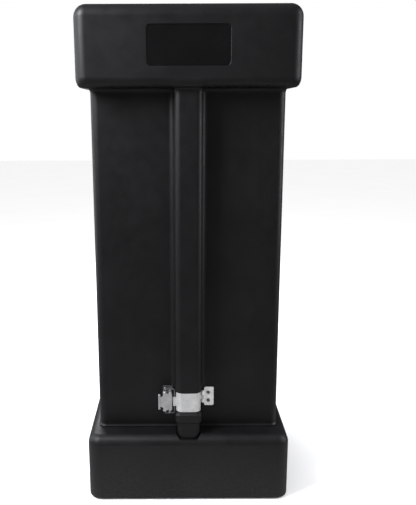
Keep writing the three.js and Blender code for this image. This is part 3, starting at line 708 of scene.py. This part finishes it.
def buildSocket():
    back = -164.3

    def outline(half, y0, r):
        return roundRect(-half, half, y0, back, r, 1)

    tip, foot, collar, neck = (socket[k] for k in ("footTip", "footHalf", "collarHalf", "neckHalf"))
    top, bore = socket["top"], socket["boreRadius"]
    # half width, front, corner radius and height
    levels = [
        (tip - 1, -211.4, 9, 160.3), (tip, -212.2, 10, 161.0), (tip + 2, -212.6, 11, 164),
        (tip + 4.4, -212.3, 12, 169), (foot, -211.2, 13, 176), (foot, -210.4, 13, 186),
        (foot, -210, 13, 199.6), (foot + 0.8, -210.6, 13, 200.8),
        (collar - 1.2, -212.6, 12, 202.6), (collar - 0.2, -213.4, 12, 203.6),
        (collar, -213.5, 12, 205), (collar, -213.5, 12, 212), (collar, -213.5, 12, 220.4),
        (collar - 0.5, -213.0, 12, 221.6), (neck + 0.9, -205.9, 14, 226.2),
        (neck, -204.6, 14, 227.2), (neck, -204.5, 14, 240), (neck, -204.5, 14, 262),
        (neck, -204.5, 14, top - 0.9), (neck - 0.3, -204.2, 13.7, top - 0.3),
        (neck - 0.9, -203.6, 13.2, top),
    ]
    shape = loft("mast_socket_body", [[(x, y, z) for x, y in outline(half, y0, r)]
                                      for half, y0, r, z in levels])
    hole = lathe("bore", [(bore, 178), (bore, 276.6), (bore + 0.9, 277.8), (bore + 0.9, 300)],
                 (0, mastY, 0), steps=48)
    slit = slab("slit", [(-40, mastY - 1), (-8, mastY - 1), (-8, mastY + 1), (-40, mastY + 1)],
                228, 300)
    return combine(shape, [hole, slit], rim=0.3)


finishPiece(buildSocket(), shellPlastic, ["mast_socket"])

# blank panel in the recess of the head
blankPanel = {"gap": 0.3, "front": -223.8, "back": -221.8, "edge": 0.6}


def buildNameplate():
    n, gap = nameRecess, blankPanel["gap"]
    outline = roundRect(gap - n["half"], n["half"] - gap, n["bottom"] + gap, n["top"] - gap,
                        n["corner"] - gap)
    return slab("nameplate", outline, blankPanel["front"], blankPanel["back"],
                blankPanel["edge"], toY)


finishPiece(buildNameplate(), smoothPlastic, ["nameplate_panel"])

readingPanel = {"gap": 0.3, "bottom": -5.7, "top": -0.7, "edge": 1.4}
bookStop = {
    "depth": 16,
    "height": 16,
    "nose": 6,             # rounding on the speaker's side
    "edge": 1.6,
    "screwX": 150,
    "wellRadius": 4.3,
    "wellFloor": 11.5,
}
stopStart = deskRecess["end"] - bookStop["depth"]


def buildReadingPanel():
    d, gap = deskRecess, readingPanel["gap"]
    outline = roundRect(gap - d["half"], d["half"] - gap, d["start"] + gap, stopStart - gap,
                        5.5, 1)
    return slab("reading_board", outline, readingPanel["bottom"], readingPanel["top"],
                readingPanel["edge"], onSlope)


finishPiece(buildReadingPanel(), deskGrain, ["reading_panel"])


# strip with a rounded nose that keeps papers from sliding off
def buildStop():
    b, bottom, gap = bookStop, readingPanel["bottom"], readingPanel["gap"]
    end, half, nose = deskRecess["end"] - gap, deskRecess["half"] - gap, bookStop["nose"]
    profile = [(stopStart, bottom), (end, bottom)]
    profile += [(end - nose + x, b["height"] - nose + z) for x, z in arc(0, 0, nose, 0, 1, 8)]
    profile += [(stopStart + 3 + x, b["height"] - 3 + z) for x, z in arc(0, 0, 3, 1, 2, 6)]
    strip = loft("book_rest", [[onSlope(x, along, h) for along, h in profile]
                               for x in (-half, half)])
    bevelSharp(strip, b["edge"])
    wells = []
    circle = arc(0, 0, b["wellRadius"], 0, 4, 32)[:-1]
    for x in (-b["screwX"], b["screwX"]):
        wells.append(loft("well", [[onSlope(x + u, stopStart + b["depth"] / 2 + v, h)
                                    for u, v in circle] for h in (b["wellFloor"], 30)]))
    return combine(strip, wells, rim=0.5)


finishPiece(buildStop(), smoothPlastic, ["book_stop"])
print("panels done")

# middles of the upright pins, which several clamp pieces share
hingePin, latchPin, bailY = (36.6, -169.5), (-44.8, -193.5), -192.0
pinBore = 1.9


def boxed(name, x0, x1, y0, y1, z0, z1, edge=0.3):
    return slab(name, [(x0, y0), (x1, y0), (x1, y1), (x0, y1)], z0, z1, edge)


# upright pin or barrel with broken edges
def post(name, x, y, z0, z1, radius, edge=0.3):
    return lathe(name, [(radius - edge, z0), (radius, z0 + edge), (radius, z1 - edge),
                        (radius - edge, z1)], (x, y, 0), steps=32)


# hole for an upright pin
def pinHole(x, y, low, high):
    return post("hole", x, y, low, high, pinBore, 0.01)


clampStrap = {
    "low": 228.5, "high": 277,
    "front": -206.3,
    "half": 30.55,         # outside of the band
    "corner": 15.8,
    "thickness": 1.5,
    "edge": 0.45,
    "hookHalf": 12,        # half the height of the hook that the bail holds
    "tongueHalf": 4.75,
    "knuckle": 3.6,
}


def buildStrap():
    c, t, mid = clampStrap, clampStrap["thickness"], hingeMiddle
    half, r, y0 = c["half"], c["corner"], c["front"]
    outer = [(half, -171.6)] + arc(half - r, y0 + r, r, 0, -1, 10)
    outer += arc(r - half, y0 + r, r, 3, 2, 10)
    inner = arc(r - half, y0 + r, r - t, 2, 3, 10) + arc(half - r, y0 + r, r - t, -1, 0, 10)
    outline = outer + inner + [(half - t, -171.6)]
    band = slab("strap", outline, c["low"], c["high"], c["edge"])
    tongue, hook = c["tongueHalf"], c["hookHalf"]
    pieces = [
        boxed("tongue", half - 1.2, hingePin[0], -173.1, -171.6, mid - tongue, mid + tongue),
        post("knuckle", *hingePin, mid - tongue, mid + tongue, c["knuckle"]),
        boxed("web", -38.3, 1.2 - half, -195.6, -194.1, latchMiddle - hook, latchMiddle + hook),
        boxed("leg", -38.3, -36.8, -195.6, -191.6, latchMiddle - hook, latchMiddle + hook),
    ]
    strap = combine(band, pieces, "UNION")
    return combine(strap, [pinHole(*hingePin, mid - 9, mid + 9)])


# screws of the hinge plate and the latch: x, and how far above and below the middle
hingeScrew, latchScrew = (50.4, 10.75), (-57, 21)
hingePlate = {"low": 228, "high": 277.5, "corner": 4, "edge": 0.7, "leafTall": 9.5, "barrel": 3.6}


def buildHingePlate():
    h, mid, tall = hingePlate, hingeMiddle, hingePlate["leafTall"]
    plate = slab("strap_hinge", roundRect(40, 64, h["low"], h["high"], h["corner"]),
                 -166.8, -164.3, h["edge"], toY)
    leaves = []
    for low in (mid - 14.75, mid + 5.25):
        leaves.append(boxed("leaf", hingePin[0], 45, -166.8, -164.4, low, low + tall, 0.4))
        leaves.append(post("barrel", *hingePin, low, low + tall, h["barrel"]))
    plate = combine(plate, leaves, "UNION")
    dish = [(5.4, -167.2), (5.2, -166.7), (4.2, -165.6), (2.7, -165.2), (2.7, -163)]
    x, away = hingeScrew
    sinks = [lathe("sink", dish, (x, 0, mid + side * away), toY) for side in (-1, 1)]
    return combine(plate, sinks + [pinHole(*hingePin, mid - 20, mid + 20)], rim=0.2)


# pan head with a cross recess; seat is the y of the underside of the head
def crossScrew(name, x, z, seat):
    tip = seat + 12
    dome = [(0.3, tip), (2.1, tip - 0.6), (2.4, tip - 1.4),
            (2.4, seat + 0.05), (3.9, seat), (4.0, seat - 0.25), (3.95, seat - 0.9),
            (3.6, seat - 1.5), (2.9, seat - 1.95), (1.6, seat - 2.17), (0.3, seat - 2.2)]
    screw = lathe(name, dome, (x, 0, z), toY, 40)
    arms = []
    for wide, tall in ((2.5, 0.55), (0.55, 2.5)):
        ends = []
        for u, y, v in ((wide, seat - 3, tall), (wide * 0.5, seat - 0.6, tall * 0.6)):
            ends.append([(x - u, y, z - v), (x + u, y, z - v),
                         (x + u, y, z + v), (x - u, y, z + v)])
        arms.append(loft("arm", ends))
    return combine(screw, arms)


latchPlate = {"low": 223, "high": 281, "corner": 2.5, "edge": 0.5, "ear": 2.4, "earEdge": 0.4}


def buildLatchBase():
    p = latchPlate
    plate = slab("latch_plate", roundRect(-63, -39.3, p["low"], p["high"], p["corner"]),
                 -166.3, -164.3, p["edge"], toY)
    ears = []
    for z in (p["low"], p["high"] - p["ear"]):
        outline = [(-50, -165.3), (-50, -193)] + arc(-46.2, -193.1, 3.8, 2, 3, 6)
        outline += [(-43, -196.9), (-39.3, -192), (-39.3, -165.3)]
        ears.append(slab("ear", outline, z, z + p["ear"], p["earEdge"]))
    plate = combine(plate, ears, "UNION")
    return combine(plate, [pinHole(*latchPin, 215, 290)])


lever = {
    "flatHeight": 43,
    "barrelHeight": 52,    # of the rolled part over the bail
    "barrelRadius": 5.0,
    "lipHeight": 40,
    "lipRadius": 2.6,
    "eyeRadius": 3.4,
}


# rolled sheet lever: flat part, barrel over the bail, waisted neck and curled lip
def buildLever():
    mid, eye = latchMiddle, lever["eyeRadius"]
    half, tall, lip = (lever[k] / 2 for k in ("flatHeight", "barrelHeight", "lipHeight"))
    flat = slab("lever", roundRect(-59, -40.5, mid - half, mid + half, 2.0), -198.7, -196.3,
                0.5, toY)
    curve = arc(0, 0, 6, 0.1, 1.0, 6)
    waist = [(-71.5, mid - lip + 3)] + [(-68 + x, mid - 19 + z) for x, z in reversed(curve)]
    waist += [(-58, mid - 13), (-58, mid + 13)]
    waist += [(-68 + x, mid + 19 - z) for x, z in curve] + [(-71.5, mid + lip - 3)]
    pieces = [
        post("roll", -57.9, -193.6, mid - tall, mid + tall, lever["barrelRadius"], 0.8),
        slab("neck", waist, -198.6, -196.4, 0.3, toY),
        post("lip", -71.5, -197.5, mid - lip, mid + lip, lever["lipRadius"], 0.9),
        post("eyeLow", *latchPin, mid - 26, mid - 15, eye, 0.5),
        post("eyeHigh", *latchPin, mid + 15, mid + 26, eye, 0.5),
    ]
    sheet = combine(flat, pieces, "UNION", rim=0.3)
    return combine(sheet, [pinHole(*latchPin, 215, 290), pinHole(-58, bailY, 215, 290)])


bailWire = {"low": 220.4, "high": 283.6, "left": -58, "right": -34.2, "corner": 3.0, "radius": 1.6}


def buildBail():
    b = bailWire
    path = roundRect(b["left"], b["right"], b["low"], b["high"], b["corner"])
    return wire("bail", [toY(x, z, bailY) for x, z in path], b["radius"])


finishPiece(buildStrap(), zinc, ["clamp_strap"], "strap")
finishPiece(buildHingePlate(), zincBright, ["hinge_plate"])
# the latch base and the bail take the zinc darkened as painted shade
finishPiece(buildLatchBase(), shadeDarkenedZinc, ["latch_base"])
finishPiece(buildLever(), zincDull, ["latch_lever"], "lever")
finishPiece(buildBail(), shadeDarkenedZinc, ["latch_bail"], "bail")
# the screw heads take the same zinc darkened as painted shade
for stem, (x, away), middle, seat in (("hinge", hingeScrew, hingeMiddle, -167.1),
                                      ("latch", latchScrew, latchMiddle, -166.6)):
    for i, z in enumerate((middle - away, middle + away), 1):
        finishPiece(crossScrew(f"{stem}_cross_{i}", x, z, seat), shadeDarkenedZinc,
                    [f"{stem}_screw_{i}"])
print("clamp done")

wheel = {
    "centre": (176, 184, 43.5),    # of the right one
    "bore": 5.5,
    "tyre": [(27.3, 12.4), (28.2, 13), (33, 13), (36.4, 12.5), (38.7, 11.0), (39.7, 9.0), (40, 7.4),
             (40, 5.8), (38.6, 5.2), (38.6, 3.6), (40, 3.0)],
    "hub": [(2.6, 13), (3.3, 12.3), (3.3, 8.6), (5.0, 7.2), (14.0, 7.2), (15.6, 8.4), (16.2, 12.0),
            (17.2, 13), (20.0, 13), (20.7, 12.3)],    # radius beyond the bore, half width
}


def turnedWheelPart(name, half, side):
    x, y, z = wheel["centre"]
    profile = half + [(radius, -height) for radius, height in reversed(half)]
    return turned(name, profile, (side * x, y, z), toX, 72)


for label, side in (("left", -1), ("right", 1)):
    bore = wheel["bore"]
    hub = turnedWheelPart(f"hub_{label}", [(bore, 12.7), (bore + 0.3, 13)]
                          + [(bore + grow, width) for grow, width in wheel["hub"]], side)
    finishPiece(hub, hubPlastic, [f"wheel_hub_{label}"], f"wheel_{label}")
    tyre = turnedWheelPart(f"tread_{label}", wheel["tyre"], side)
    finishPiece(tyre, tyreLook, [f"tyre_{label}"], f"wheel_{label}")
print("wheels done")


# CAD pieces shown as they are: an edge rounding and a material
def keepNode(names, material, edge):
    for name in names:
        node = bpy.data.objects[name]
        node.data.materials.clear()
        node.data.materials.append(material)
        weld = node.modifiers.new("weld", "WELD")
        weld.merge_threshold = 0.01 * mm
        mod = node.modifiers.new("edges", "BEVEL")
        mod.width = edge * mm
        mod.segments = 2
        mod.limit_method = "ANGLE"
        mod.angle_limit = math.radians(38)
        mod.harden_normals = True
        weightedNormals(node)
        node.data.polygons.foreach_set("use_smooth", [True] * len(node.data.polygons))


def each(stem, count):
    return [f"{stem}_{i}" for i in range(1, count + 1)]


keepNode(["hinge_pin", "latch_pin"], zinc, 0.3)
keepNode(["mast_tube"], aluminium, 0.2)
keepNode(["mast_cap", "base_pan", "shelf_rail_left", "shelf_rail_right", "ceiling_panel"],
         smoothPlastic, 0.8)
keepNode(["shelf"], deskGrain, 1.2)
keepNode(each("rubber_foot", 4) + ["mast_plug"], rubberLook, 0.8)
keepNode(each("book_stop_screw", 2) + each("rail_screw", 4) + each("ceiling_screw", 4)
         + each("body_bolt", 4) + each("pan_screw", 4) + each("socket_screw", 2)
         + ["wheel_axle", "axle_cap_left", "axle_cap_right"], darkSteel, 0.3)
print("kept pieces dressed")

studio = {
    "lightColor": (0.94, 0.96, 1.0),
    "floor": (0.97, 0.97, 0.97),
    "skyLight": 1.0,        # light that reaches every surface
    "skyMirrored": 0.082,   # how bright the room looks in reflections
    "pool": (0.3, 0.9),     # reach of the painted pool of light that the plastic mirrors in the floor, metres
    "poolNear": 0.34, "poolFar": 0.05,
    # name, place, what it points at, width, height and power
    "lights": [
        ("keyLeft", (-1.2, -0.85, 1.8), (0, 0, 0.95), 0.6, 0.9, 50),
        ("sideLeft", (-2.1, 0.5, 1.1), (0, 0, 0.7), 1.6, 2.2, 26),
        ("fillRight", (2.6, -0.3, 1.4), (0, 0, 0.7), 0.9, 2.2, 36),
        ("backFill", (-0.7, 2.3, 1.5), (0, 0, 0.7), 1.4, 1.6, 30),
        ("overhead", (0, 0.4, 3.4), (0, 0, 0), 3.0, 3.0, 6),
    ],
}
viewpoint = {
    "place": (-0.030, -1.658, 0.945),
    "pitch": 12.13, "roll": -0.24,    # degrees
    "lens": 30.29,
    "shiftX": 0.0642, "shiftY": -0.0016,
}


def areaLight(name, place, target, width, height, power):
    data = bpy.data.lights.new(name, "AREA")
    data.shape = "RECTANGLE"
    data.size, data.size_y, data.energy = width, height, power
    data.color = studio["lightColor"]
    obj = bpy.data.objects.new(name, data)
    obj.location = place
    obj.rotation_euler = (Vector(target) - Vector(place)).to_track_quat("-Z", "Y").to_euler()
    scene.collection.objects.link(obj)


def buildStudio():
    mat, nodes, links, shader = newMaterial("floorPaperWithPaintedPool")
    tree = mat.node_tree
    coords = nodes.new("ShaderNodeTexCoord").outputs["Object"]
    tone = addNoise(tree, coords, 2.0, 2)
    c = studio["floor"]
    paper = addRamp(tree, tone, [(0.3, tuple(v * 0.985 for v in c)), (0.7, c)])
    spread = nodes.new("ShaderNodeVectorMath")
    spread.operation = "LENGTH"
    links.new(coords, spread.inputs[0])
    # painted pool of light: in reflections only, the floor's colour is bright near the lectern and
    # fades with distance
    pool = addRamp(tree, addRange(tree, spread.outputs["Value"], *studio["pool"], 0, 1),
                   [(0.0, (studio["poolNear"],) * 3), (1.0, (studio["poolFar"],) * 3)])
    mix, path = nodes.new("ShaderNodeMix"), nodes.new("ShaderNodeLightPath")
    mix.data_type = "RGBA"
    links.new(path.outputs["Is Glossy Ray"], mix.inputs["Factor"])
    links.new(paper, mix.inputs["A"])
    links.new(pool, mix.inputs["B"])
    links.new(mix.outputs["Result"], shader.inputs["Base Color"])
    shader.inputs["Roughness"].default_value = 0.9
    shader.inputs["Specular IOR Level"].default_value = 0.2
    floor = addMesh("floor", [(-9000, -6000, 0), (9000, -6000, 0), (9000, 12000, 0),
                              (-9000, 12000, 0)], [(0, 1, 2, 3)])
    floor.data.materials.append(mat)

    world = bpy.data.worlds.new("studioWorld")
    scene.world = world
    world.use_nodes = True
    nodes, links = world.node_tree.nodes, world.node_tree.links
    nodes.clear()
    out, path = nodes.new("ShaderNodeOutputWorld"), nodes.new("ShaderNodeLightPath")

    def sky(strength):
        node = nodes.new("ShaderNodeBackground")
        node.inputs["Color"].default_value = (1, 1, 1, 1)
        node.inputs["Strength"].default_value = strength
        return node.outputs["Background"]

    def mixed(fac, first, second):
        node = nodes.new("ShaderNodeMixShader")
        links.new(fac, node.inputs["Fac"])
        links.new(first, node.inputs[1])
        links.new(second, node.inputs[2])
        return node.outputs["Shader"]

    # white room that the black plastic mirrors only dimly
    lit = mixed(path.outputs["Is Glossy Ray"], sky(studio["skyLight"]), sky(studio["skyMirrored"]))
    links.new(mixed(path.outputs["Is Camera Ray"], lit, sky(1.0)), out.inputs["Surface"])

    for light in studio["lights"]:
        areaLight(*light)

    camera = bpy.data.cameras.new("camera")
    camera.sensor_fit = "VERTICAL"
    camera.sensor_height = 24
    camera.lens = viewpoint["lens"]
    camera.shift_x, camera.shift_y = viewpoint["shiftX"], viewpoint["shiftY"]
    obj = bpy.data.objects.new("camera", camera)
    pitch, roll = math.radians(viewpoint["pitch"]), math.radians(viewpoint["roll"])
    obj.matrix_world = (Matrix.Translation(viewpoint["place"])
                        @ Matrix.Rotation(quarter - pitch, 4, "X") @ Matrix.Rotation(roll, 4, "Z"))
    scene.collection.objects.link(obj)
    scene.camera = obj
    scene.view_settings.view_transform = "Standard"


buildStudio()
print("studio ready")

bpy.context.view_layer.update()
